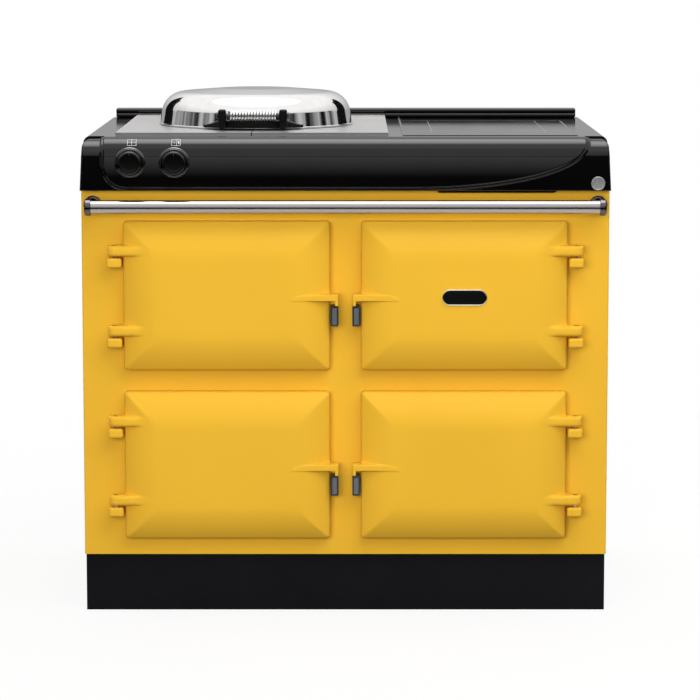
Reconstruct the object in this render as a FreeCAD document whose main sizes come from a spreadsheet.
import FreeCAD, Part
import math
import os
import re
from types import SimpleNamespace

import Sketcher

# Heat-storage range cooker with four cast doors, a domed hotplate lid and an induction hob.
# Frame: origin in the middle of the footprint on the floor, X to the right, Y to the back, Z up.
# The front faces -Y. Every length is in millimetres.

os.makedirs("parts", exist_ok=True)
Vector = FreeCAD.Vector
document = FreeCAD.newDocument("range_cooker")

# Driving dimensions, kept in a spreadsheet under these names
DRIVING = {
    # Whole appliance
    "door_outer_margin": 79,
    "service_depth": 85,
    "rail_reach": 73,
    "running_gap": 0.3,
    "overrun": 5,
    # Plinth, base and feet
    "plinth_height": 112,
    "plinth_setback": 20,
    "plinth_side_setback": 1,
    "plinth_wall": 4,
    "base_thickness": 4,
    "foot_radius": 22,
    "foot_thickness": 14,
    "foot_stem_radius": 6,
    "foot_inset": 90,
    # Body shell
    "panel_wall": 2,
    "panel_flange": 22,
    "rear_recess": 32,
    "front_plate_thickness": 8,
    "front_plate_rounding": 3,
    # Top casting
    "top_casting_height": 38,
    "top_wall": 8,
    "top_rounding": 13,
    "top_draft": 5,
    "top_side_inset": 2,
    # Facia
    "facia_rise": 57.2,
    "facia_height": 100,
    "facia_reach": 36,
    "facia_wall": 4,
    "facia_step": 4,
    "panel_lean_run": 8,
    "panel_lean_drop": 40,
    "panel_lean_rounding": 110,
    "panel_crest_rounding": 29,
    "facia_lip": 2,
    "bead_width": 5.5,
    "facia_side_draft": 7,
    "facia_corner": 13,
    "panel_left_inset": 44.5,
    "panel_right_inset": 46.5,
    "panel_foot": 6,
    "panel_left_corner": 46,
    # Rear rail
    "rail_side_inset": 19.5,
    "rail_rolls": 2,
    "rail_depth": 24,
    "rail_roll_radius": 4.75,
    "rail_end_rounding": 4,
    # Hotplate and its surround
    "hotplate_forward": 17.5,
    "hotplate_flange": 4,
    "hotplate_drop": 1,
    "hotplate_bevel": 2,
    "surround_left_inset": 64.5,
    "lid_left_margin": 66.5,
    "lid_right_margin": 67.5,
    "surround_thickness": 6,
    "surround_front_inset": 5,
    "surround_gap": 2,
    "expansion_slot": 2,
    "element_radius": 120,
    "element_tube_radius": 4,
    # Lid
    "lid_radius": 187.5,
    "lid_overlap": 9.5,
    "lid_height": 66,
    "lid_wall": 3,
    "lid_band_height": 27,
    "lid_band_inset": 4.5,
    "lid_band_rounding": 20,
    "lid_shoulder_inset": 15.5,
    "lid_shoulder_drop": 8.5,
    "lid_shoulder_rounding": 45,
    "lid_crown_radius": 70,
    "lid_crown_rounding": 260,
    "rim_height": 4,
    "rim_proud": 1.5,
    "rim_width": 14,
    "liner_thickness": 3,
    "lid_pin_behind": 27.5,
    "lid_pin_rise": 17,
    "lid_pin_radius": 5,
    "pin_clearance": 0.05,
    "lid_knuckle_radius": 10,
    "lid_knuckle_length": 44,
    "lid_lug_width": 14,
    "lid_lug_back": 20,
    "lid_foot_back": 30,
    "side_gap": 0.5,
    # Handle of the lid
    "coil_length": 94,
    "coil_radius": 10,
    "coil_turns": 16,
    "wire_radius": 2.3,
    "coil_gap": 0.1,
    "rod_radius": 3.5,
    "rod_head_radius": 6,
    "rod_head_length": 3,
    "ear_radius": 11.5,
    "ear_width": 19,
    "handle_axis_rise": 28,
    "handle_reach": 24,
    "handle_foot_half": 95,
    "handle_foot_height": 12,
    "handle_block_height": 17,
    "handle_block_depth": 18,
    # Induction hob
    "hob_left_gap": 27,
    "hob_right_inset": 59.5,
    "hob_front_inset": 10,
    "hob_rear_inset": 127,
    "glass_thickness": 6,
    "glass_proud": 1,
    "trim_width": 3.5,
    "trim_depth": 7,
    "tray_depth": 55,
    "tray_wall": 1.5,
    "coil_disc_radius": 105,
    "coil_disc_small_radius": 85,
    "coil_disc_thickness": 9,
    # Doors
    "door_side_lap": 21.75,
    "door_end_lap": 22,
    "door_inner_x": 29,
    "lower_door_rise": 34.2,
    "door_spacing": 40.6,
    "door_gap": 1,
    "door_side_wall": 21,
    "door_crown": 25,
    "door_slope": 78,
    "door_rim_rounding": 8,
    "door_corner_rounding": 7,
    "door_wall": 7,
    "door_back_recess": 9,
    # Door hinges
    "pin_offset": 16.5,
    "pin_reach": 30,
    "door_pin_radius": 4,
    "arm_height": 20,
    "arm_radius": 12,
    "arm_rounding": 8,
    "arm_span": 56,
    "upper_arm_drop": 54.5,
    "lower_arm_rise": 75.5,
    "hinge_gap": 3.5,
    "block_height": 18,
    "block_outer": 13,
    "block_inner": 14.5,
    "block_front": 11,
    "block_rounding": 4,
    # Latch
    "lug_rise": 138,
    "lug_height": 13,
    "lug_reach": 16,
    "lug_span": 87,
    "lug_tip_reach": 40,
    "lug_lip_width": 6.5,
    "lug_root_height": 3,
    "lug_taper": 32,
    "lug_taper_rounding": 30,
    "lug_lip_drop": 9,
    "lug_rounding": 4,
    "catch_width": 14.5,
    "catch_height": 38,
    "catch_gap": 0.4,
    "catch_reach": 36,
    "catch_rounding": 3,
    "catch_frame": 2,
    "catch_pocket": 2.5,
    # Door liner and seal
    "liner_plate_thickness": 2,
    "plug_side_gap": 9,
    "plug_depth": 24,
    "plug_rounding": 12,
    "seal_radius": 3.8,
    "seal_offset": 9,
    # Ovens
    "mouth_width": 342,
    "mouth_height": 236,
    "mouth_rounding": 20,
    "oven_depth": 500,
    "oven_wall": 8,
    "runner_height": 5,
    "runner_width": 8,
    "runner_rise": 70,
    "runner_pitch": 62,
    "runner_count": 2,
    "shelf_wire_radius": 2.5,
    "shelf_depth": 430,
    "shelf_side_gap": 2,
    "shelf_bars": 9,
    "oven_element_radius": 4,
    "element_side_inset": 60,
    # Handrail
    "rail_tube_radius": 13,
    "rail_tube_wall": 1.5,
    "rail_tube_inset": 23.5,
    "rail_tube_drop": 28,
    "rail_cap_width": 12,
    "rail_cap_radius": 16,
    "rail_cap_rounding": 3,
    "rail_flange_radius": 17,
    "rail_flange_thickness": 5,
    "rail_neck_radius": 10,
    # Controls
    "knob_outer_inset": 94.5,
    "knob_spacing": 82,
    "knob_rise": 53,
    "knob_radius": 22.5,
    "knob_length": 20,
    "knob_rounding": 4,
    "knob_grip_depth": 1.2,
    "knob_flutes": 12,
    "knob_flute_radius": 3,
    "bezel_radius": 28.5,
    "bezel_inner_radius": 24,
    "bezel_height": 4,
    "bezel_root": 8,
    "shaft_radius": 3,
    "switch_width": 38,
    "switch_depth": 22,
    "knob_gap": 0.5,
    # Badges and small pieces
    "disc_inset": 24.5,
    "disc_rise": 14,
    "disc_radius": 13,
    "disc_thickness": 2.5,
    "plate_length": 84,
    "plate_height": 30,
    "plate_thickness": 3,
    "vent_length": 230,
    "vent_inset": 96.5,
    "vent_height": 5,
    "vent_depth": 12,
    "vent_slant": 8,
    "terminal_width": 150,
    "terminal_height": 90,
    "terminal_depth": 28,
    "terminal_inset": 243.5,
    "terminal_rise": 68,
    "gland_radius": 12,
    "gland_length": 20,
    "gland_bore": 7,
    "gland_rounding": 1,
}

# Places worked out from the driving dimensions
DERIVED = {
    "door_width": "mouth_width + 2 * door_side_lap",
    "door_height": "mouth_height + 2 * door_end_lap",
    "half_width": "door_inner_x + door_width + door_outer_margin",
    "body_depth": "front_plate_thickness + oven_depth + service_depth + rear_recess",
    "overall_depth": "rail_reach + body_depth",
    "front_y": "rail_reach - overall_depth / 2",
    "back_y": "overall_depth / 2",
    "lower_door_bottom": "plinth_height + lower_door_rise",
    "upper_door_bottom": "lower_door_bottom + door_height + door_spacing",
    "facia_bottom": "upper_door_bottom + door_height + facia_rise",
    "top_height": "facia_bottom + facia_height",
    "side_panel_top": "top_height - top_casting_height",
    "panel_back_y": "back_y - rear_recess",
    "base_top": "plinth_height + base_thickness",
    "plate_back_y": "front_y + front_plate_thickness",
    "door_x": "door_inner_x + door_width / 2",
    "upper_door_z": "upper_door_bottom + door_height / 2",
    "lower_door_z": "lower_door_bottom + door_height / 2",
    "pin_x": "door_inner_x + door_width + pin_offset",
    "pin_y": "front_y - pin_reach",
    "upper_arm_rise": "door_height - upper_arm_drop",
    "panel_left": "panel_left_inset - half_width",
    "panel_right": "half_width - panel_right_inset",
    "rail_half_length": "half_width - rail_side_inset",
    "rail_front": "back_y - rail_depth",
    "surround_left": "surround_left_inset - half_width",
    "surround_top": "top_height + surround_thickness",
    "surround_front": "front_y + surround_front_inset",
    "hotplate_radius": "lid_radius - lid_overlap",
    "hotplate_x": "surround_left + lid_left_margin + lid_radius",
    "hotplate_y": "(front_y + rail_front) / 2 - hotplate_forward",
    "surround_right": "hotplate_x + lid_radius + lid_right_margin",
    "lid_pin_y": "hotplate_y + lid_radius + lid_pin_behind",
    "lid_bottom": "surround_top + running_gap",
    "dome_bottom": "lid_bottom + rim_height",
    "lid_pin_z": "surround_top + lid_pin_rise",
    "handle_y": "hotplate_y - lid_radius - handle_reach",
    "handle_z": "surround_top + handle_axis_rise",
    "hob_front": "front_y + hob_front_inset",
    "hob_rear_y": "rail_front - hob_rear_inset",
    "hob_left": "surround_right + hob_left_gap",
    "hob_right": "half_width - hob_right_inset",
    "glass_bottom": "top_height + glass_proud - glass_thickness",
    "tube_y": "front_y - rail_reach + rail_cap_radius",
    "rail_tube_half": "half_width - rail_tube_inset",
    "rail_tube_height": "facia_bottom - rail_tube_drop",
    "facia_front": "front_y - facia_reach",
    "knob_outer_x": "knob_outer_inset - half_width",
    "knob_inner_x": "knob_outer_x + knob_spacing",
    "knob_height": "facia_bottom + knob_rise",
    "disc_x": "half_width - disc_inset",
    "disc_height": "facia_bottom + disc_rise",
    "vent_right": "half_width - vent_inset",
    "vent_left": "vent_right - vent_length",
    "terminal_x": "half_width - terminal_inset",
    "terminal_bottom": "plinth_height + terminal_rise",
}

sheet = document.addObject("Spreadsheet::Sheet", "dims")
for row, (alias, value) in enumerate(DRIVING.items(), start=1):
    sheet.set(f"A{row}", alias)
    sheet.set(f"B{row}", str(value))
    sheet.setAlias(f"B{row}", alias)
document.recompute()


def bound(formula):
    """Turns the names in a formula into references to the sheet and to the derived places."""

    def reference(match):
        name = match.group(0)
        if name in DRIVING:
            return "dims." + name
        if name in DERIVED:
            return "places." + name
        return name

    return re.sub(r"[a-z_]+", reference, formula)


places = document.addObject("App::VarSet", "places")
for name in DERIVED:
    places.addProperty("App::PropertyFloat", name, "Places")
for name, formula in DERIVED.items():
    places.setExpression(name, bound(formula))
    places.recompute()
document.recompute()
size = SimpleNamespace(
    **{name: float(getattr(sheet, name)) for name in DRIVING},
    **{name: float(getattr(places, name)) for name in DERIVED},
)
sub_parts = []
# Points nearer than this are one point, and sketches start from outlines of about this size
SAME_POINT = 0.0001
SKETCH_START = 100
SKETCH_START_STEP = 10
CENTRE_POINT = 3
FULL_TURN = 360
HALF_TURN_SHARE = 0.5
SAMPLES_PER_ARC = 9

# Shares of the sizes that they follow
FULL_ROUND_SHARE = 0.98
FACIA_ROLL_SHARE = 0.985
INNER_RING_SHARE = 0.6
COIL_EYE_SHARE = 0.25
HOB_ZONE_SHARE = 0.25
SLOPE_ARC_SHARE = 0.88
SWEEP_START_SHARE = 0.36
SWEEP_START_PULL_SHARE = 0.19
SWEEP_END_SHARE = 0.14
SWEEP_END_PULL_SHARES = (0.01, 0.3)
CORNER_PULL_SHARE = 0.4
DISC_RING_SHARES = (0.78, 0.72)
DISC_FLOOR_SHARE = 0.6
BEZEL_ROUNDING_SHARE = 0.25
EAR_NECK_SHARE = 0.8
SADDLE_ROUNDING_SHARE = 0.33
LUG_BACK_SHARE = 0.7
RAIL_NECK_SHARE = 0.7
GLAND_COLLAR_SHARE = 0.6
GLAND_NOSE_SHARE = 1.2


# Helpers that make bound objects

def keep(piece):
    """Names a finished sub-part and puts it on the list that is written out."""
    piece.Label = piece.Name
    sub_parts.append(piece)
    return piece


def place(piece, x="0", y="0", z="0"):
    for axis, formula in zip("xyz", (x, y, z)):
        piece.setExpression(f"Placement.Base.{axis}", bound(formula))


def block(name, x, y, z):
    """A box between two bounds on each axis, each bound a formula."""
    piece = document.addObject("Part::Box", name)
    for side, (low, high) in zip(("Length", "Width", "Height"), (x, y, z)):
        piece.setExpression(side, bound(f"({high}) - ({low})"))
    place(piece, x[0], y[0], z[0])
    return piece


def rectangle(left, bottom, right, top):
    return [(left, bottom), (right, bottom), (right, top), (left, top)]


def add_outline(sketch, corners, seed):
    """Draws a closed outline whose corners are held by formulas."""
    count = len(corners)
    start = [
        (seed * math.cos(math.tau * index / count), seed * math.sin(math.tau * index / count))
        for index in range(count)
    ]
    first = sketch.GeometryCount
    for index in range(count):
        here = start[index]
        after = start[(index + 1) % count]
        sketch.addGeometry(Part.LineSegment(Vector(*here, 0), Vector(*after, 0)), False)
    for index, (x, y) in enumerate(corners):
        line = first + index
        following = first + (index + 1) % count
        sketch.addConstraint(Sketcher.Constraint("Coincident", line, 2, following, 1))
        for kind, formula, guess in zip(("DistanceX", "DistanceY"), (x, y), start[index]):
            number = sketch.addConstraint(Sketcher.Constraint(kind, line, 1, guess))
            sketch.setExpression(f"Constraints[{number}]", bound(formula))


def add_circle(sketch, x, y, radius, seed):
    line = sketch.addGeometry(Part.Circle(Vector(0, 0, 0), Vector(0, 0, 1), seed), False)
    for kind, formula in (("DistanceX", x), ("DistanceY", y)):
        number = sketch.addConstraint(Sketcher.Constraint(kind, line, CENTRE_POINT, seed))
        sketch.setExpression(f"Constraints[{number}]", bound(formula))
    number = sketch.addConstraint(Sketcher.Constraint("Radius", line, seed))
    sketch.setExpression(f"Constraints[{number}]", bound(radius))


def add_sketch(body, name, role, outlines, circles=()):
    plane = next(item for item in body.Origin.OriginFeatures if item.Role == role)
    sketch = body.newObject("Sketcher::SketchObject", name)
    sketch.AttachmentSupport = [(plane, "")]
    sketch.MapMode = "FlatFace"
    for number, corners in enumerate(outlines):
        add_outline(sketch, corners, SKETCH_START - SKETCH_START_STEP * number)
    for x, y, radius in circles:
        add_circle(sketch, x, y, radius, SKETCH_START_STEP)
    return sketch


def padded(name, role, outlines, length, circles=()):
    """A body padded from one sketch on an origin plane; inner outlines are holes."""
    body = document.addObject("PartDesign::Body", name)
    sketch = add_sketch(body, name + "_sketch", role, outlines, circles)
    pad = body.newObject("PartDesign::Pad", name + "_pad")
    pad.Profile = sketch
    pad.setExpression("Length", bound(length))
    sketch.Visibility = False
    document.recompute()
    return body


def round_edges(body, wanted, radius):
    """Rounds the edges of a body's tip that pass a test on their two end points."""
    base = body.Tip
    names = []
    for number, edge in enumerate(base.Shape.Edges, start=1):
        ends = [vertex.Point for vertex in edge.Vertexes]
        if len(ends) == 2 and wanted(*ends):
            names.append(f"Edge{number}")
    fillet = body.newObject("PartDesign::Fillet", body.Name + "_fillet")
    fillet.Base = (base, names)
    fillet.setExpression("Radius", bound(radius))
    body.Tip = fillet
    document.recompute()


# Helpers that work out shapes for pieces with curved sections

def rounded_wire(corners, to_space):
    """A closed wire through corners (across, up, radius), each rounded by a tangent arc."""
    flat = [Vector(across, up, 0) for across, up, _ in corners]
    edges = []
    starts = []
    ends = []
    arcs = []
    for index, (_, _, radius) in enumerate(corners):
        here = flat[index]
        before = (flat[index - 1] - here).normalize()
        after = (flat[(index + 1) % len(flat)] - here).normalize()
        half = before.getAngle(after) / 2
        run = radius / math.tan(half)
        starts.append(here + before * run)
        ends.append(here + after * run)
        middle = here
        if radius > 0:
            inward = (before + after).normalize()
            middle = here + inward * (radius / math.sin(half) - radius)
        arcs.append(middle)
    for index, (_, _, radius) in enumerate(corners):
        if radius > 0:
            three = [to_space(point.x, point.y) for point in (starts[index], arcs[index], ends[index])]
            edges.append(Part.Arc(*three).toShape())
        following = starts[(index + 1) % len(corners)]
        if not following.isEqual(ends[index], SAME_POINT):
            edges.append(Part.makeLine(to_space(ends[index].x, ends[index].y),
                                       to_space(following.x, following.y)))
    return Part.Wire(edges)


def across_x(corners, left, right):
    """A prism along X; its corners are given as (y, z, radius)."""
    wire = rounded_wire(corners, lambda y, z: Vector(left, y, z))
    return Part.Face(wire).extrude(Vector(right - left, 0, 0))


def across_y(corners, front, back):
    """A prism along Y; its corners are given as (x, z, radius)."""
    wire = rounded_wire(corners, lambda x, z: Vector(x, front, z))
    return Part.Face(wire).extrude(Vector(0, back - front, 0))


def across_z(corners, low, high):
    """A prism along Z; its corners are given as (x, y, radius)."""
    wire = rounded_wire(corners, lambda x, y: Vector(x, y, low))
    return Part.Face(wire).extrude(Vector(0, 0, high - low))


def turned(corners, centre, axis=Vector(0, 0, 1)):
    """A full revolution of corners (radius, along the axis, rounding) about an axis."""
    wire = rounded_wire(corners, lambda radius, along: Vector(radius, 0, along))
    solid = Part.Face(wire).revolve(Vector(0, 0, 0), Vector(0, 0, 1), FULL_TURN)
    solid.Placement = FreeCAD.Placement(centre, FreeCAD.Rotation(Vector(0, 0, 1), axis))
    return solid


def cylinder(radius, length, start, axis):
    return Part.makeCylinder(radius, length, start, axis)


def box(x, y, z):
    """A box between two numbers on each axis."""
    return Part.makeBox(x[1] - x[0], y[1] - y[0], z[1] - z[0], Vector(x[0], y[0], z[0]))


def feature(name, shape, base=Vector(0, 0, 0)):
    """A sub-part whose shape is worked out here from the named sizes."""
    piece = document.addObject("Part::Feature", name)
    own_place = shape.Placement
    piece.Shape = shape
    piece.Placement = FreeCAD.Placement(base, FreeCAD.Rotation()).multiply(own_place)
    return keep(piece)


def group(name, shapes, base=Vector(0, 0, 0)):
    """One node that holds several like solids."""
    return feature(name, Part.makeCompound(shapes), base)


OPPOSITE = {"left": -1, "right": 1}
ROWS = {"upper": size.upper_door_bottom, "lower": size.lower_door_bottom}
DOORS = [(row, side) for row in ROWS for side in OPPOSITE]
FORWARD = Vector(0, -1, 0)
RIGHT = Vector(1, 0, 0)
UP = Vector(0, 0, 1)


# Plinth, base plate and levelling feet

def make_base():
    plinth_side = "half_width - plinth_side_setback"
    plinth_front = "front_y + plinth_setback"
    outer = rectangle(f"-({plinth_side})", plinth_front, plinth_side, "panel_back_y")
    inner = rectangle(f"plinth_wall - ({plinth_side})", f"{plinth_front} + plinth_wall",
                      f"{plinth_side} - plinth_wall", "panel_back_y - plinth_wall")
    keep(padded("plinth", "XY_Plane", [outer, inner], "plinth_height"))

    base_side = "half_width - panel_wall"
    base = block("base_plate", (f"-({base_side})", base_side),
                 ("plate_back_y + panel_wall", "panel_back_y"), ("plinth_height", "base_top"))
    keep(base)

    feet = []
    for x in (size.foot_inset - size.half_width, size.half_width - size.foot_inset):
        for y in (size.front_y + size.foot_inset, size.panel_back_y - size.foot_inset):
            pad = cylinder(size.foot_radius, size.foot_thickness, Vector(x, y, 0), UP)
            stem = cylinder(size.foot_stem_radius, size.plinth_height, Vector(x, y, 0), UP)
            feet.append(pad.fuse(stem).removeSplitter())
    group("levelling_feet", feet)


# Enamelled shell: side panels, back panel and the front plate with its four mouths

def make_shell():
    for side, sign in (("left", ""), ("right", "-")):
        outside = f"{sign}(-half_width)"
        inside = f"{sign}(panel_wall - half_width)"
        flange = f"{sign}(panel_flange - half_width)"
        outline = [
            (outside, "plate_back_y"),
            (flange, "plate_back_y"),
            (flange, "plate_back_y + panel_wall"),
            (inside, "plate_back_y + panel_wall"),
            (inside, "back_y - panel_wall"),
            (flange, "back_y - panel_wall"),
            (flange, "back_y"),
            (outside, "back_y"),
        ]
        if side == "left":
            outline.reverse()
        panel = padded(f"side_panel_{side}", "XY_Plane", [outline], "side_panel_top - plinth_height")
        place(panel, z="plinth_height")
        keep(panel)

    back = block("back_panel", ("panel_wall - half_width", "half_width - panel_wall"),
                 ("panel_back_y", "panel_back_y + panel_wall"), ("plinth_height", "side_panel_top"))
    keep(back)

    outer = rectangle("-half_width", "plinth_height", "half_width", "side_panel_top")
    mouths = []
    for row in ("upper", "lower"):
        for sign in ("-", ""):
            middle = f"{sign}door_x"
            height = f"{row}_door_z"
            mouths.append(rectangle(f"{middle} - mouth_width / 2", f"{height} - mouth_height / 2",
                                    f"{middle} + mouth_width / 2", f"{height} + mouth_height / 2"))
    plate = padded("front_plate", "XZ_Plane", [outer] + mouths, "front_plate_thickness")
    place(plate, y="plate_back_y")

    def upright_front(one, two):
        on_side = abs(abs(one.x) - size.half_width) < size.running_gap
        on_front = one.y < -size.front_plate_thickness / 2
        return on_side and on_front and abs(one.x - two.x) < size.running_gap and one.z != two.z

    round_edges(plate, upright_front, "front_plate_rounding")
    keep(plate)


# Black top casting, its rear rail and the hob

def top_section(inset, low):
    side = size.half_width - size.top_side_inset - inset
    upper = side - size.top_draft
    height = size.top_height - inset
    return [
        (-side, low, 0), (side, low, 0),
        (upper, height, size.top_rounding - inset), (-upper, height, size.top_rounding - inset),
    ]


def make_top():
    outer = across_y(top_section(0, size.side_panel_top), size.front_y, size.back_y)
    hollow = across_y(top_section(size.top_wall, size.side_panel_top - size.overrun),
                      size.front_y - size.overrun, size.rail_front)
    casting = outer.cut(hollow)
    bore_radius = size.hotplate_radius + size.surround_gap
    collar_base = Vector(size.hotplate_x, size.hotplate_y, size.side_panel_top)
    collar_height = size.top_height - size.top_wall - size.side_panel_top
    casting = casting.fuse(cylinder(bore_radius + size.top_wall, collar_height, collar_base, UP))
    bore = cylinder(bore_radius, size.top_height, Vector(size.hotplate_x, size.hotplate_y, 0), UP)
    hob = box((size.hob_left + size.trim_width, size.hob_right - size.trim_width),
              (size.hob_front, size.hob_rear_y - size.trim_width),
              (size.side_panel_top, size.top_height + size.overrun))
    trims = make_trim_shape()
    feature("top_plate", casting.cut(bore).cut(hob).cut(trims).removeSplitter())
    feature("hob_trim", trims)

    glass = block("hob_glass", ("hob_left + trim_width", "hob_right - trim_width"),
                  ("hob_front", "hob_rear_y - trim_width"),
                  ("glass_bottom", "glass_bottom + glass_thickness"))
    keep(glass)

    tray_outer = box((size.hob_left + size.trim_width, size.hob_right - size.trim_width),
                     (size.hob_front, size.hob_rear_y - size.trim_width),
                     (size.glass_bottom - size.tray_depth, size.glass_bottom))
    tray_inner = box((size.hob_left + size.trim_width + size.tray_wall,
                      size.hob_right - size.trim_width - size.tray_wall),
                     (size.hob_front + size.tray_wall, size.hob_rear_y - size.trim_width - size.tray_wall),
                     (size.glass_bottom - size.tray_depth + size.tray_wall,
                      size.glass_bottom + size.overrun))
    middle_x = (size.hob_left + size.hob_right) / 2
    quarter = (size.hob_rear_y - size.hob_front) * HOB_ZONE_SHARE
    discs = []
    supports = []
    tray_floor = size.glass_bottom - size.tray_depth + size.tray_wall
    disc_bottom = size.glass_bottom - size.coil_disc_thickness
    for y, radius in ((size.hob_front + quarter, size.coil_disc_radius),
                      (size.hob_rear_y - quarter, size.coil_disc_small_radius)):
        disc = cylinder(radius, size.coil_disc_thickness, Vector(middle_x, y, disc_bottom), UP)
        eye_base = Vector(middle_x, y, disc_bottom)
        eye = cylinder(radius * COIL_EYE_SHARE, size.coil_disc_thickness, eye_base, UP)
        discs.append(disc.cut(eye))
        supports.append(cylinder(radius / 2, disc_bottom - tray_floor,
                                 Vector(middle_x, y, tray_floor), UP))
    group("induction_coils", discs)
    tray = tray_outer.cut(tray_inner)
    for support in supports:
        tray = tray.fuse(support)
    feature("induction_tray", tray.removeSplitter())

    radius = size.rail_roll_radius
    low = size.top_height
    depth = size.rail_depth
    rail = None
    rolls = int(size.rail_rolls)
    for number in range(rolls):
        bottom = low + 2 * radius * number
        section = [
            (size.rail_front, bottom, radius * FULL_ROUND_SHARE), (size.rail_front + depth, bottom, 0),
            (size.rail_front + depth, bottom + 2 * radius, 0),
            (size.rail_front, bottom + 2 * radius, radius * FULL_ROUND_SHARE),
        ]
        roll = across_x(section, -size.rail_half_length, size.rail_half_length)
        rail = roll if rail is None else rail.fuse(roll)
    outline = [
        (-size.rail_half_length, size.rail_front, size.rail_end_rounding),
        (size.rail_half_length, size.rail_front, size.rail_end_rounding),
        (size.rail_half_length, size.back_y, 0), (-size.rail_half_length, size.back_y, 0),
    ]
    ends = across_z(outline, low, low + 2 * radius * rolls)
    feature("rear_rail", rail.common(ends).removeSplitter())


def make_trim_shape():
    """Bright strips let in beside and behind the hob glass."""
    low = size.top_height + size.glass_proud - size.trim_depth
    high = size.top_height + size.glass_proud
    left = box((size.hob_left, size.hob_left + size.trim_width), (size.hob_front, size.rail_front),
               (low, high))
    right = box((size.hob_right - size.trim_width, size.hob_right), (size.hob_front, size.hob_rear_y),
                (low, high))
    rear = box((size.hob_left, size.hob_right), (size.hob_rear_y - size.trim_width, size.hob_rear_y),
               (low, high))
    return left.fuse(right).fuse(rear).removeSplitter()


# Facia: a swept panel raised on the casting, edged by a bead

def facia_section(inset, low, back):
    """Upright front with a large roll into the top; the inset is taken from the facia's outermost faces."""
    front = size.facia_front + inset
    high = size.top_height - inset
    return [
        (front, low, size.facia_lip), (front, high, size.facia_reach * FACIA_ROLL_SHARE - inset),
        (back, high, 0), (back, low, 0),
    ]


def panel_section(inset, low, back):
    """Front that leans back above the knobs' middle and then rolls into the top."""
    lean = math.atan(size.panel_lean_run / size.panel_lean_drop)
    front = size.facia_front + inset
    high = size.top_height - inset
    bend_z = size.top_height - size.panel_lean_drop - inset * math.tan(lean / 2)
    crest_y = size.facia_front + size.panel_lean_run
    crest_y += inset * math.tan((math.pi / 2 - lean) / 2)
    return [
        (front, low, size.facia_lip), (front, bend_z, size.panel_lean_rounding - inset),
        (crest_y, high, size.panel_crest_rounding - inset), (back, high, 0), (back, low, 0),
    ]


def panel_outline(grow):
    """Raised panel seen from the front: a quarter round at the left, a long sweep at the right."""
    left = size.panel_left - grow
    right = size.panel_right + grow
    foot = size.facia_bottom + size.panel_foot - grow
    top = size.top_height + size.overrun
    rise = top - foot
    reach = right - left
    points = {
        "left_top": Vector(left, 0, top),
        "left_low": Vector(left, 0, foot + size.panel_left_corner),
        "left_foot": Vector(left + size.panel_left_corner, 0, foot),
        "right_foot": Vector(right - SWEEP_START_SHARE * reach, 0, foot),
        "right_low": Vector(right, 0, top - SWEEP_END_SHARE * rise),
        "right_top": Vector(right, 0, top),
    }
    pull = CORNER_PULL_SHARE * size.panel_left_corner
    corner = Part.BezierCurve()
    corner.setPoles([points["left_low"], Vector(left, 0, foot + pull),
                     Vector(left + pull, 0, foot), points["left_foot"]])
    across, up = SWEEP_END_PULL_SHARES
    sweep = Part.BezierCurve()
    sweep.setPoles([points["right_foot"], Vector(right - SWEEP_START_PULL_SHARE * reach, 0, foot),
                    Vector(right - across * reach, 0, foot + up * rise), points["right_low"]])
    edges = [
        Part.makeLine(points["left_top"], points["left_low"]), corner.toShape(),
        Part.makeLine(points["left_foot"], points["right_foot"]), sweep.toShape(),
        Part.makeLine(points["right_low"], points["right_top"]),
        Part.makeLine(points["right_top"], points["left_top"]),
    ]
    return Part.Wire(edges)


def make_facia():
    half = size.half_width
    low = size.facia_bottom
    ends = [
        (-half, low, 0), (half, low, 0),
        (half - size.facia_side_draft, size.top_height - size.facia_step, size.facia_corner),
        (size.facia_side_draft - half, size.top_height - size.facia_step, size.facia_corner),
    ]
    outline = across_y(ends, size.facia_front - size.overrun, size.front_y)
    steps = size.facia_step
    casting = across_x(facia_section(steps, low, size.front_y), -half, half).common(outline)
    for inset, grow in ((steps / 2, size.bead_width), (0, 0)):
        prism = Part.Face(panel_outline(grow)).extrude(Vector(0, size.facia_reach + size.overrun, 0))
        prism.translate(Vector(0, size.facia_front - size.overrun, 0))
        layer = across_x(panel_section(inset, low, size.front_y), -half, half)
        casting = casting.fuse(layer.common(prism))
    solid = casting
    wall = size.facia_wall + steps
    hollow = across_x([
        (size.facia_front + wall, low - size.overrun, 0),
        (size.facia_front + wall, size.top_height - wall, size.facia_reach * FACIA_ROLL_SHARE - wall),
        (size.front_y + size.overrun, size.top_height - wall, 0),
        (size.front_y + size.overrun, low - size.overrun, 0),
    ], size.facia_side_draft + wall - half, half - size.facia_side_draft - wall)
    floor_plate = box((size.facia_side_draft + wall - half, half - size.facia_side_draft - wall),
                      (size.facia_front + wall, size.front_y), (low, low + size.facia_wall))
    casting = casting.cut(hollow).fuse(floor_plate)
    for x in (size.knob_outer_x, size.knob_inner_x):
        bore = cylinder(size.shaft_radius + size.knob_gap, size.facia_reach + size.overrun,
                        Vector(x, size.front_y, size.knob_height), FORWARD)
        casting = casting.cut(bore)
    feature("control_facia", casting.removeSplitter())

    slant = size.vent_slant
    strip = across_y([
        (size.vent_left, low, 0), (size.vent_right, low, 0),
        (size.vent_right - slant, low - size.vent_height, 0),
        (size.vent_left + slant, low - size.vent_height, 0),
    ], size.front_y - size.vent_depth, size.front_y)
    feature("vent_strip", strip)

    ring_top, ring_foot = (size.disc_radius * share for share in DISC_RING_SHARES)
    disc_floor = size.disc_thickness * DISC_FLOOR_SHARE
    disc = turned([
        (0, 0, 0), (size.disc_radius, 0, 0),
        (size.disc_radius, size.disc_thickness, size.disc_thickness / 2),
        (ring_top, size.disc_thickness, 0), (ring_foot, disc_floor, 0), (0, disc_floor, 0),
    ], Vector(size.disc_x, size.facia_front + size.facia_step, size.disc_height), FORWARD)
    feature("facia_disc", disc)
    return solid


# Control knobs with their bezels, shafts and switches

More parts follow.
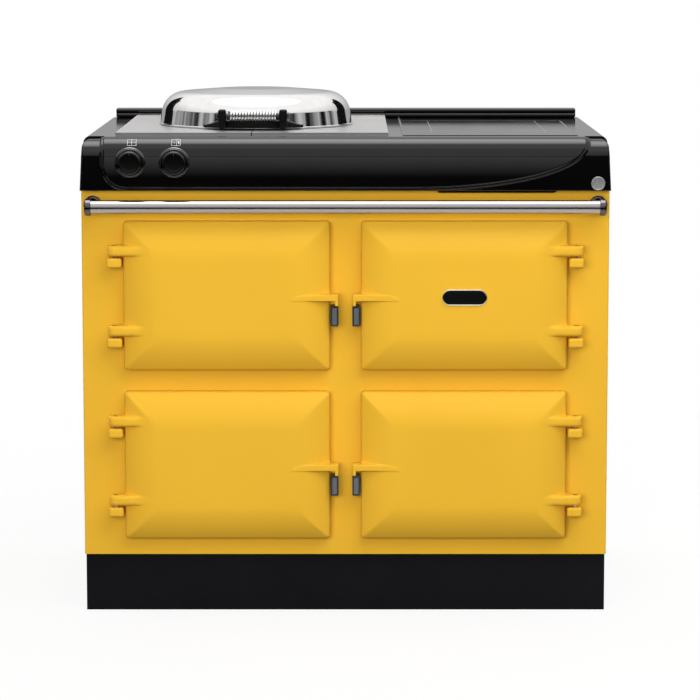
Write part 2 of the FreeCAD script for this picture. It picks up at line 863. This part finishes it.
def make_controls(facia):
    """The bezels' backs are cut to the facia's surface."""
    panel_front = size.facia_front
    bezels = []
    switches = []
    for side, x in (("outer", size.knob_outer_x), ("inner", size.knob_inner_x)):
        centre = Vector(x, panel_front, size.knob_height)
        bezel = turned([
            (size.shaft_radius + size.knob_gap, -size.bezel_root, 0),
            (size.bezel_radius, -size.bezel_root, 0),
            (size.bezel_radius - size.bezel_height / 2, size.bezel_height,
             size.bezel_height * BEZEL_ROUNDING_SHARE),
            (size.bezel_inner_radius, size.bezel_height, 0),
            (size.bezel_inner_radius, size.bezel_height / 2, 0),
            (size.shaft_radius + size.knob_gap, size.bezel_height / 2, 0),
        ], centre, FORWARD)
        bezels.append(bezel.cut(facia))
        knob_start = size.bezel_height / 2 + size.knob_gap
        knob_end = knob_start + size.knob_length
        crown = size.knob_radius - size.knob_rounding / 2
        knob = turned([
            (0, knob_start, 0), (size.knob_radius, knob_start, 0),
            (crown, knob_end, size.knob_rounding),
            (0, knob_end - size.knob_grip_depth, 0),
        ], Vector(0, 0, 0), FORWARD)
        for step in range(int(size.knob_flutes)):
            angle = math.tau * step / size.knob_flutes
            reach = size.knob_radius + size.knob_flute_radius - size.knob_grip_depth
            start = Vector(reach * math.sin(angle), -knob_start - size.knob_gap, reach * math.cos(angle))
            knob = knob.cut(cylinder(size.knob_flute_radius, size.knob_length, start, FORWARD))
        shaft_end = size.facia_reach - size.switch_depth - size.running_gap
        shaft = cylinder(size.shaft_radius, shaft_end + knob_start, Vector(0, shaft_end, 0), FORWARD)
        feature(f"knob_{side}", knob.fuse(shaft).removeSplitter(), centre)
        half = size.switch_width / 2
        switches.append(box((x - half, x + half), (size.front_y - size.switch_depth, size.front_y),
                            (size.knob_height - half, size.knob_height + half)))
    group("knob_bezels", bezels)
    group("control_switches", switches)


# Brushed surround, hotplate and its heating element

def make_hotplate():
    centre = Vector(size.hotplate_x, size.hotplate_y, 0)
    plate = box((size.surround_left, size.surround_right), (size.surround_front, size.rail_front),
                (size.top_height, size.surround_top))
    hole = cylinder(size.hotplate_radius + size.surround_gap, size.surround_top, centre, UP)
    slot = box((size.hotplate_x - size.expansion_slot / 2, size.hotplate_x + size.expansion_slot / 2),
               (size.surround_front - size.overrun, size.hotplate_y),
               (size.top_height - size.overrun, size.surround_top + size.overrun))
    feature("hotplate_surround", plate.cut(hole).cut(slot))

    top = size.surround_top - size.hotplate_drop
    bottom = size.side_panel_top - size.hotplate_flange
    disc = turned([
        (0, bottom, 0), (size.hotplate_radius, bottom, 0),
        (size.hotplate_radius, top, size.hotplate_bevel), (0, top, 0),
    ], centre, UP)
    flange = cylinder(size.hotplate_radius + size.surround_gap + size.top_wall, size.hotplate_flange,
                      centre + UP * bottom, UP)
    feature("hotplate", disc.fuse(flange).removeSplitter())

    height = bottom - size.element_tube_radius - size.running_gap
    return [
        Part.makeTorus(size.element_radius * share, size.element_tube_radius, centre + UP * height, UP)
        for share in (1, INNER_RING_SHARE)
    ]


# Domed lid with its rim, liner, hinge and wire handle

def dome_corners(inset):
    radius = size.lid_radius - inset
    high = size.lid_height - inset
    shoulder = size.lid_shoulder_rounding - inset
    return [
        (0, 0, 0), (radius, 0, 0),
        (radius - size.lid_band_inset, size.lid_band_height, size.lid_band_rounding),
        (radius - size.lid_shoulder_inset, high - size.lid_shoulder_drop, shoulder),
        (size.lid_crown_radius, high, size.lid_crown_rounding), (0, high, 0),
    ]


def make_lid():
    centre = Vector(size.hotplate_x, size.hotplate_y, 0)
    dome = turned(dome_corners(0), Vector(0, 0, 0), UP)
    hollow = turned(dome_corners(size.lid_wall), Vector(0, 0, 0), UP)
    feature("lid_dome", dome.cut(hollow), centre + UP * size.dome_bottom)

    outer = size.lid_radius + size.rim_proud
    inner = outer - size.rim_width
    feature("lid_rim", turned([
        (inner, 0, 0), (outer, 0, 0), (outer, size.rim_height, size.rim_height / 2),
        (inner, size.rim_height, 0),
    ], Vector(0, 0, 0), UP), centre + UP * size.lid_bottom)
    feature("lid_liner", cylinder(inner, size.liner_thickness, Vector(0, 0, 0), UP),
            centre + UP * (size.dome_bottom - size.liner_thickness))
    wool_radius = size.lid_radius - 2 * size.lid_shoulder_inset - size.lid_wall
    wool_height = size.lid_height - size.lid_wall - 2 * size.lid_shoulder_drop
    feature("lid_insulation", cylinder(wool_radius, wool_height, Vector(0, 0, 0), UP),
            centre + UP * size.dome_bottom)

    pin = Vector(size.hotplate_x, size.lid_pin_y, size.lid_pin_z)
    half = size.lid_knuckle_length / 2
    bore = size.lid_pin_radius + size.pin_clearance
    knuckle = cylinder(size.lid_knuckle_radius, 2 * half, Vector(-half, 0, 0), RIGHT)
    arm_front = size.hotplate_y + size.lid_radius - size.lid_shoulder_inset - size.lid_pin_y
    arm_low = size.dome_bottom - size.lid_pin_z
    arm = box((-half, half), (arm_front, 0), (arm_low, size.lid_knuckle_radius))
    arm = arm.fuse(knuckle).cut(cylinder(bore, 2 * half, Vector(-half, 0, 0), RIGHT))
    inside = turned(dome_corners(0), centre + UP * size.dome_bottom - pin, UP)
    feature("lid_hinge_arm", arm.cut(inside).removeSplitter(), pin)

    lugs = []
    outer_end = half + size.side_gap + size.lid_lug_width
    for sign in (-1, 1):
        near = sign * (half + size.side_gap)
        far = sign * outer_end
        low = size.surround_top - size.lid_pin_z
        radius = size.lid_knuckle_radius
        body = box(sorted((near, far)), (-radius, size.lid_lug_back), (low, 0))
        eye = cylinder(radius, size.lid_lug_width, Vector(min(near, far), 0, 0), RIGHT)
        lugs.append(body.fuse(eye))
    foot = box((-outer_end, outer_end), (radius + size.side_gap, size.lid_foot_back),
               (low, low + size.surround_thickness))
    bracket = lugs[0].fuse(lugs[1]).fuse(foot)
    bracket = bracket.cut(cylinder(size.lid_pin_radius, 2 * outer_end, Vector(-outer_end, 0, 0), RIGHT))
    feature("lid_hinge_bracket", bracket.removeSplitter(), pin)
    feature("lid_hinge_pin", cylinder(size.lid_pin_radius, 2 * outer_end, Vector(-outer_end, 0, 0), RIGHT),
            pin)


def make_lid_handle():
    """Black bracket hugging the dome, with two ears, a rod and a wire grip between them."""
    centre = Vector(size.hotplate_x, size.hotplate_y, 0)
    low = size.dome_bottom
    half = size.coil_length / 2
    block_half = half + size.ear_width
    dome = turned(dome_corners(0), centre + UP * low, UP)

    reach = size.handle_reach + size.handle_block_depth / 2
    chord = size.handle_foot_half
    sagitta = reach + size.lid_radius - math.sqrt(size.lid_radius ** 2 - chord ** 2)
    bow = (chord ** 2 + sagitta ** 2) / (2 * sagitta)
    foot_centre = Vector(size.hotplate_x, size.hotplate_y - size.lid_radius - reach + bow, low)
    foot = cylinder(bow, size.handle_foot_height, foot_centre, UP)
    front_half = box((size.hotplate_x - bow, size.hotplate_x + bow),
                     (size.hotplate_y - size.lid_radius - reach, size.hotplate_y - size.lid_radius / 2),
                     (low, low + size.handle_foot_height))
    foot = foot.common(front_half)

    front = size.handle_y - size.handle_block_depth / 2
    saddle = across_z([
        (size.hotplate_x - block_half, front, size.handle_block_depth * SADDLE_ROUNDING_SHARE),
        (size.hotplate_x + block_half, front, size.handle_block_depth * SADDLE_ROUNDING_SHARE),
        (size.hotplate_x + block_half, size.hotplate_y - size.lid_radius / 2, 0),
        (size.hotplate_x - block_half, size.hotplate_y - size.lid_radius / 2, 0),
    ], low, low + size.handle_block_height - size.coil_radius / 2)
    bracket = foot.fuse(saddle)
    for sign in (-1, 1):
        start = size.hotplate_x + sign * half + min(0, sign) * size.ear_width
        eye = cylinder(size.ear_radius, size.ear_width, Vector(start, size.handle_y, size.handle_z), RIGHT)
        neck = box((start, start + size.ear_width),
                   (size.handle_y - size.ear_radius * EAR_NECK_SHARE, size.hotplate_y - size.lid_radius / 2),
                   (low + size.handle_foot_height / 2, size.handle_z))
        bracket = bracket.fuse(eye).fuse(neck)
    rod_start = Vector(size.hotplate_x - block_half, size.handle_y, size.handle_z)
    bracket = bracket.cut(dome).cut(cylinder(size.rod_radius, 2 * block_half, rod_start, RIGHT))
    feature("lid_handle_bracket", bracket.removeSplitter())

    rod = cylinder(size.rod_radius, 2 * block_half, rod_start, RIGHT)
    for start in (-block_half - size.rod_head_length, block_half):
        head = cylinder(size.rod_head_radius, size.rod_head_length,
                        Vector(size.hotplate_x + start, size.handle_y, size.handle_z), RIGHT)
        rod = rod.fuse(head)
    feature("lid_handle_rod", rod.removeSplitter())
    feature("lid_handle_coil", wire_coil(), Vector(size.hotplate_x, size.handle_y, size.handle_z))


def wire_coil():
    """One wire wound about X: each half turn of the helix is a pair of tangent arcs."""
    radius = size.coil_radius - size.wire_radius
    turns = size.coil_turns
    length = size.coil_length - 2 * (size.wire_radius + size.coil_gap)
    pitch = length / turns

    def point(turn_count):
        angle = math.tau * turn_count
        return Vector(pitch * turn_count - length / 2, radius * math.sin(angle), radius * math.cos(angle))

    def heading(turn_count):
        angle = math.tau * turn_count
        along = Vector(pitch, math.tau * radius * math.cos(angle), -math.tau * radius * math.sin(angle))
        return along.normalize()

    def arc(start, control, end):
        chord_middle = (start + end) / 2
        spread = (start - control).getAngle(end - control) / 2
        arm = (start - control).Length
        bend = arm * math.tan(spread)
        towards = (chord_middle - control).normalize()
        crest = control + towards * (bend / math.sin(spread) - bend)
        return Part.Arc(start, crest, end).toShape()

    edges = []
    step = HALF_TURN_SHARE
    for number in range(int(turns / step)):
        start = point(number * step)
        end = point((number + 1) * step)
        leaving = heading(number * step)
        arriving = heading((number + 1) * step)
        chord = end - start
        both = chord.dot(leaving + arriving)
        spread = 2 * (1 - leaving.dot(arriving))
        arm = (math.sqrt(both ** 2 + spread * chord.dot(chord)) - both) / spread
        first_control = start + leaving * arm
        second_control = end - arriving * arm
        joint = (first_control + second_control) / 2
        edges.append(arc(start, first_control, joint))
        edges.append(arc(joint, second_control, end))
    path = Part.Wire(edges)
    section = Part.Wire(Part.Circle(point(0), heading(0), size.wire_radius).toShape())
    shell = Part.BRepOffsetAPI.MakePipeShell(path)
    shell.add(section)
    shell.build()
    shell.makeSolid()

    samples = []
    for edge in edges:
        samples.extend(edge.discretize(SAMPLES_PER_ARC)[:-1])
    per_turn = int(len(samples) / turns)
    least = min(
        (samples[one] - samples[two]).Length
        for one in range(len(samples))
        for two in range(one + per_turn // 2, min(one + 2 * per_turn, len(samples)))
    )
    print(f"lid_handle_coil: least gap to itself {least - 2 * size.wire_radius:.2f} mm")
    return shell.shape()


# Cast doors

def pillow_section(width, wall, crown, slope, rim, back):
    """Half-plane section of a door: side wall, rounded rim, long curved slope, flat middle."""
    half = width / 2
    bend = (slope ** 2 + crown ** 2) / (2 * crown)
    run = bend * math.tan(math.asin(slope / bend) / 2)
    shoulder = half - slope + run
    bend *= SLOPE_ARC_SHARE
    return [
        (-half, back, 0), (-half, -wall, rim), (-shoulder, -wall - crown, bend),
        (shoulder, -wall - crown, bend), (half, -wall, rim), (half, back, 0),
    ]


def pillow(inset, back):
    """Door casting seen as two crossed prisms, so that creases run in from its corners."""
    width = size.door_width - 2 * inset
    height = size.door_height - 2 * inset
    wall = size.door_side_wall - inset
    slope = size.door_slope - inset
    rim = max(size.door_rim_rounding - inset, 0)
    corner = max(size.door_corner_rounding - inset, 0)
    lying = across_z(pillow_section(width, wall, size.door_crown, slope, rim, back),
                     -height / 2, height / 2)
    standing = across_x([(y, z, r) for z, y, r in
                         pillow_section(height, wall, size.door_crown, slope, rim, back)],
                        -width / 2, width / 2)
    outline = across_y([
        (-width / 2, -height / 2, corner), (width / 2, -height / 2, corner),
        (width / 2, height / 2, corner), (-width / 2, height / 2, corner),
    ], -wall - size.door_crown - size.overrun, back)
    return lying.common(standing).common(outline)


def hinge_arm(rise):
    """Half-round rib from the hinge pin on to the slope of the door; the pin is at its eye."""
    pin_x = -size.door_width / 2 - size.pin_offset
    pin_y = -size.pin_reach
    radius = size.arm_radius
    middle = rise - size.door_height / 2
    half = size.arm_height / 2
    plan = across_z([
        (pin_x - radius, pin_y - radius, radius * FULL_ROUND_SHARE),
        (pin_x + size.arm_span, pin_y - radius, 0),
        (pin_x + size.arm_span, pin_y + radius, 0),
        (pin_x - radius, pin_y + radius, radius * FULL_ROUND_SHARE),
    ], middle - half, middle + half)
    rib = across_x([
        (pin_y - radius, middle - half, size.arm_rounding),
        (pin_y - radius, middle + half, size.arm_rounding),
        (pin_y + radius, middle + half, 0), (pin_y + radius, middle - half, 0),
    ], pin_x - radius, pin_x + size.arm_span)
    return plan.common(rib)


def latch_lug():
    """Wing that runs out of the slope over the free edge, with a lip that drops at its end."""
    edge = size.door_width / 2
    end = edge + size.lug_reach
    low = size.lug_rise - size.door_height / 2 - size.lug_height / 2
    high = low + size.lug_height
    crest = size.door_side_wall + size.door_crown
    root = end - size.lug_span
    tip_back = size.door_side_wall * LUG_BACK_SHARE
    taper = across_y([
        (root, low, 0), (end, low, 0), (end, high, 0),
        (root + size.lug_taper, high, size.lug_taper_rounding), (root, low + size.lug_root_height, 0),
    ], -crest - size.overrun, size.overrun)
    wing = across_z([
        (root, -crest + size.lug_rounding, 0), (root, -crest, 0),
        (end - size.lug_lip_width, -size.lug_tip_reach, size.lug_rounding),
        (end, -size.lug_tip_reach + size.lug_rounding, size.lug_rounding),
        (end, -tip_back, size.lug_rounding), (edge - size.door_wall / 2, -tip_back, 0),
    ], low, high).common(taper)
    lip = across_z([
        (end - size.lug_lip_width, -size.lug_tip_reach + size.lug_rounding, size.lug_rounding / 2),
        (end, -size.lug_tip_reach + size.lug_rounding, size.lug_rounding / 2),
        (end, -tip_back, size.lug_rounding / 2),
        (end - size.lug_lip_width, -tip_back, size.lug_rounding / 2),
    ], low - size.lug_lip_drop, low + size.lug_height / 2)
    return wing.fuse(lip)


def door_casting():
    """Left-hand door about its middle, on the front plate's plane; hinges at -X."""
    skin = pillow(0, 0).fuse(latch_lug())
    hollow = pillow(size.door_wall, size.overrun)
    for part_shape in (skin, hollow):
        part_shape.translate(Vector(0, -size.door_gap, 0))
    casting = skin
    pin_x = -size.door_width / 2 - size.pin_offset
    for rise in (size.lower_arm_rise, size.upper_arm_rise):
        casting = casting.fuse(hinge_arm(rise))
    casting = casting.cut(hollow)
    bore = cylinder(size.door_pin_radius + size.pin_clearance, size.door_height,
                    Vector(pin_x, -size.pin_reach, -size.door_height / 2), UP)
    return casting.cut(bore).removeSplitter()


def door_liner():
    """Insulated inner panel: a plate in the door's back and a plug that enters the mouth."""
    half_x = size.door_width / 2 - size.door_wall
    half_z = size.door_height / 2 - size.door_wall
    plate_back = -size.door_gap - size.door_back_recess
    plate = box((-half_x, half_x), (plate_back - size.liner_plate_thickness, plate_back),
                (-half_z, half_z))
    plug_x = size.mouth_width / 2 - size.plug_side_gap
    plug_z = size.mouth_height / 2 - size.plug_side_gap
    plug = across_y([
        (-plug_x, -plug_z, size.plug_rounding), (plug_x, -plug_z, size.plug_rounding),
        (plug_x, plug_z, size.plug_rounding), (-plug_x, plug_z, size.plug_rounding),
    ], plate_back, size.plug_depth)
    return plate.fuse(plug).removeSplitter()


def door_seal():
    """Rope seal laid round the plug, in front of the mouth's edge."""
    reach = size.seal_offset
    half_x = size.mouth_width / 2 + reach
    half_z = size.mouth_height / 2 + reach
    corner = size.mouth_rounding + reach
    middle = -size.door_gap - size.door_back_recess + size.seal_radius
    path = rounded_wire([
        (-half_x, -half_z, corner), (half_x, -half_z, corner),
        (half_x, half_z, corner), (-half_x, half_z, corner),
    ], lambda x, z: Vector(x, middle, z))
    start = path.OrderedVertexes[0].Point
    direction = path.OrderedEdges[0].tangentAt(path.OrderedEdges[0].FirstParameter)
    section = Part.Wire(Part.Circle(start, direction, size.seal_radius).toShape())
    shell = Part.BRepOffsetAPI.MakePipeShell(path)
    shell.add(section)
    shell.build()
    shell.makeSolid()
    return shell.shape()


def mirrored_for(side, shape):
    """The right-hand doors are the left-hand ones mirrored."""
    if side == "left":
        return shape.copy()
    return shape.mirror(Vector(0, 0, 0), RIGHT)


def make_doors():
    casting = door_casting()
    liner = door_liner()
    seal = door_seal()
    blocks = []
    pins = []
    catches = []
    for row, side in DOORS:
        sign = OPPOSITE[side]
        bottom = ROWS[row]
        middle = Vector(sign * size.door_x, size.front_y, bottom + size.door_height / 2)
        feature(f"door_{row}_{side}", mirrored_for(side, casting), middle)
        feature(f"door_liner_{row}_{side}", mirrored_for(side, liner), middle)
        feature(f"door_seal_{row}_{side}", mirrored_for(side, seal), middle)
        pin_x = sign * size.pin_x
        for rise in (size.lower_arm_rise, size.upper_arm_rise):
            arm_low = bottom + rise - size.arm_height / 2
            block_top = arm_low - size.hinge_gap
            block_low = block_top - size.block_height
            outer_x = pin_x + sign * size.block_outer
            inner_x = pin_x - sign * size.block_inner
            front = size.pin_y - size.block_front
            rounding = size.block_front / 2
            body = across_z([
                (outer_x, front, rounding), (inner_x, front, rounding),
                (inner_x, size.front_y, 0), (outer_x, size.front_y, 0),
            ], block_low, block_top)
            body = body.common(across_y([
                (outer_x, block_low, size.block_rounding), (inner_x, block_low, size.block_rounding),
                (inner_x, block_top, size.block_rounding), (outer_x, block_top, size.block_rounding),
            ], front, size.front_y))
            hole_base = Vector(pin_x, size.pin_y, block_low)
            hole = cylinder(size.door_pin_radius, size.block_height, hole_base, UP)
            blocks.append(body.cut(hole))
            length = size.block_height + size.hinge_gap + size.arm_height
            pins.append(cylinder(size.door_pin_radius, length, Vector(pin_x, size.pin_y, block_low), UP))
        lip_low = bottom + size.lug_rise - size.lug_height / 2 - size.lug_lip_drop
        top = lip_low - size.catch_gap
        end_x = size.door_inner_x - size.lug_reach
        side_x = sorted((sign * end_x, sign * (end_x + size.catch_width)))
        catch_front = size.front_y - size.catch_reach
        catch = across_x([
            (catch_front, top - size.catch_height, size.catch_rounding),
            (catch_front, top, size.catch_rounding),
            (size.front_y, top, 0), (size.front_y, top - size.catch_height, 0),
        ], side_x[0], side_x[1])
        frame = size.catch_frame
        pocket = across_y([
            (side_x[0] + frame, top - size.catch_height + frame, size.catch_rounding / 2),
            (side_x[1] - frame, top - size.catch_height + frame, size.catch_rounding / 2),
            (side_x[1] - frame, top - frame, size.catch_rounding / 2),
            (side_x[0] + frame, top - frame, size.catch_rounding / 2),
        ], catch_front - size.overrun, catch_front + size.catch_pocket)
        catch = catch.cut(pocket)
        catches.append(catch)
    group("hinge_blocks", blocks)
    group("hinge_pins", pins)
    group("door_catches", catches)

    half = size.plate_length / 2
    end = size.plate_height / 2
    rounding = end * FULL_ROUND_SHARE
    oval = across_y([
        (-half, -end, rounding), (half, -end, rounding), (half, end, rounding), (-half, end, rounding),
    ], -size.plate_thickness, 0)
    face = size.door_side_wall + size.door_crown + size.door_gap
    feature("name_plate", oval, Vector(size.door_x, size.front_y - face, size.upper_door_z))


# Ovens with runners, shelves and elements, and the wool round them

def make_ovens(hotplate_rings):
    wall = size.oven_wall
    half_x = size.mouth_width / 2
    half_z = size.mouth_height / 2
    shelves = []
    elements = []
    wool_holes = []
    for row, side in DOORS:
        middle = Vector(OPPOSITE[side] * size.door_x, size.plate_back_y,
                        ROWS[row] + size.door_height / 2)
        outer = box((-half_x - wall, half_x + wall), (0, size.oven_depth), (-half_z - wall, half_z + wall))
        inner = across_y([
            (-half_x, -half_z, size.mouth_rounding / 2), (half_x, -half_z, size.mouth_rounding / 2),
            (half_x, half_z, size.mouth_rounding / 2), (-half_x, half_z, size.mouth_rounding / 2),
        ], -size.overrun, size.oven_depth - wall)
        oven = outer.cut(inner)
        runner_end = size.oven_depth - wall
        for number in range(int(size.runner_count)):
            low = -half_z + size.runner_rise + number * size.runner_pitch
            for sign in (-1, 1):
                ends = sorted((sign * half_x, sign * (half_x - size.runner_width)))
                oven = oven.fuse(box(ends, (size.oven_wall, runner_end), (low, low + size.runner_height)))
        feature(f"oven_{row}_{side}", oven.removeSplitter(), middle)
        shelf = wire_shelf()
        shelf.translate(middle + UP * (size.runner_rise + size.runner_height - half_z))
        shelves.append(shelf)
        element = element_loop()
        element.translate(middle + UP * (-half_z - wall - size.oven_element_radius))
        elements.append(element)
        hole = outer.copy()
        hole.translate(middle)
        wool_holes.append(hole)
        channel = box((-half_x, half_x), (0, size.oven_depth),
                      (-half_z - wall - 2 * size.oven_element_radius - size.running_gap, -half_z - wall))
        channel.translate(middle)
        wool_holes.append(channel)
    group("oven_shelves", shelves)
    group("heating_elements", elements + hotplate_rings)

    side_x = size.half_width - size.panel_wall
    top = size.glass_bottom - size.tray_depth
    wool = box((-side_x, side_x), (size.plate_back_y, size.panel_back_y), (size.base_top, top))
    for side in (-1, 1):
        ends = sorted((side * side_x, side * (side_x - size.panel_flange + size.panel_wall)))
        wool = wool.cut(box(ends, (size.plate_back_y, size.plate_back_y + size.panel_wall),
                            (size.base_top, top)))
    for hole in wool_holes:
        wool = wool.cut(hole)
    feature("mineral_wool", wool)


def wire_shelf():
    """Welded wire shelf, lying on one pair of runners; its origin is at the oven's front."""
    radius = size.shelf_wire_radius
    half = size.mouth_width / 2 - size.shelf_side_gap - radius
    front = size.oven_depth - size.oven_wall - size.shelf_depth - size.shelf_side_gap
    back = front + size.shelf_depth
    shelf = None
    for sign in (-1, 1):
        side = box((sign * half - radius, sign * half + radius), (front, back), (0, 2 * radius))
        shelf = side if shelf is None else shelf.fuse(side)
    for y in (front + radius, back - radius):
        shelf = shelf.fuse(box((-half, half), (y - radius, y + radius), (0, 2 * radius)))
    pitch = 2 * half / (size.shelf_bars + 1)
    for number in range(1, int(size.shelf_bars) + 1):
        x = -half + pitch * number
        shelf = shelf.fuse(box((x - radius / 2, x + radius / 2), (front + radius, back - radius),
                               (radius / 2, 2 * radius)))
    return shelf.removeSplitter()


def element_loop():
    """Sheathed element under an oven floor: a flat rounded loop of tube."""
    inset = size.element_side_inset
    half_x = size.mouth_width / 2 - inset
    front = inset
    back = size.oven_depth - inset
    path = rounded_wire([
        (-half_x, front, inset), (half_x, front, inset), (half_x, back, inset), (-half_x, back, inset),
    ], lambda x, y: Vector(x, y, 0))
    start = path.OrderedVertexes[0].Point
    direction = path.OrderedEdges[0].tangentAt(path.OrderedEdges[0].FirstParameter)
    section = Part.Wire(Part.Circle(start, direction, size.oven_element_radius).toShape())
    shell = Part.BRepOffsetAPI.MakePipeShell(path)
    shell.add(section)
    shell.build()
    shell.makeSolid()
    return shell.shape()


# Handrail and its end brackets

def make_handrail():
    half = size.rail_tube_half
    start = Vector(-half, size.tube_y, size.rail_tube_height)
    tube = cylinder(size.rail_tube_radius, 2 * half, start, RIGHT)
    bore = cylinder(size.rail_tube_radius - size.rail_tube_wall, 2 * half, start, RIGHT)
    feature("handrail", tube.cut(bore))
    for side, sign in OPPOSITE.items():
        end = sign * half
        cap = turned([
            (0, 0, 0), (size.rail_cap_radius, 0, 0),
            (size.rail_cap_radius, size.rail_cap_width, size.rail_cap_rounding),
            (0, size.rail_cap_width, 0),
        ], Vector(end, size.tube_y, size.rail_tube_height), Vector(sign, 0, 0))
        flange_x = end + sign * (size.rail_cap_width - size.rail_neck_radius)
        flange_centre = Vector(flange_x, size.front_y, size.rail_tube_height)
        flange = turned([
            (0, 0, 0), (size.rail_flange_radius, 0, 0),
            (size.rail_flange_radius, size.rail_flange_thickness, size.rail_flange_thickness / 2),
            (size.rail_neck_radius, size.rail_flange_thickness + size.rail_neck_radius / 2,
             size.rail_neck_radius / 2),
            (size.rail_neck_radius * RAIL_NECK_SHARE, size.rail_reach - size.rail_tube_radius, 0),
            (0, size.rail_reach - size.rail_tube_radius, 0),
        ], flange_centre, FORWARD)
        around = cylinder(size.rail_tube_radius, 2 * half, start, RIGHT)
        bracket = flange.cut(around).fuse(cap)
        feature(f"handrail_bracket_{side}", bracket.removeSplitter())


# Terminal box with its cable gland on the back

def make_terminal():
    low = "terminal_bottom"
    behind = "panel_back_y + panel_wall"
    keep(block("terminal_box", ("terminal_x - terminal_width / 2", "terminal_x + terminal_width / 2"),
               (behind, f"{behind} + terminal_depth"), (low, f"{low} + terminal_height")))
    back = size.panel_back_y + size.panel_wall
    bottom = size.terminal_bottom
    gland = turned([
        (size.gland_bore, 0, 0), (size.gland_radius, 0, 0),
        (size.gland_radius, size.gland_length * GLAND_COLLAR_SHARE, size.gland_rounding),
        (size.gland_bore * GLAND_NOSE_SHARE, size.gland_length, size.gland_rounding),
        (size.gland_bore, size.gland_length, 0),
    ], Vector(size.terminal_x, back + size.terminal_depth / 2, bottom), Vector(0, 0, -1))
    feature("cable_gland", gland)


make_base()
make_shell()
make_top()
make_controls(make_facia())
hotplate_rings = make_hotplate()
make_lid()
make_lid_handle()
make_doors()
make_ovens(hotplate_rings)
make_handrail()
make_terminal()

document.recompute()
for item in document.Objects:
    if "Invalid" in item.State or "Error" in item.State:
        raise RuntimeError(f"{item.Label} failed: {item.State}")
for piece in sub_parts:
    shape = piece.Shape
    if shape.isNull() or not shape.isValid() or not shape.Solids:
        raise RuntimeError(f"{piece.Label} has no valid shape")
for piece in sub_parts:
    piece.Shape.exportStep(f"parts/{piece.Label}.step")
print(f"{len(sub_parts)} sub-parts written")
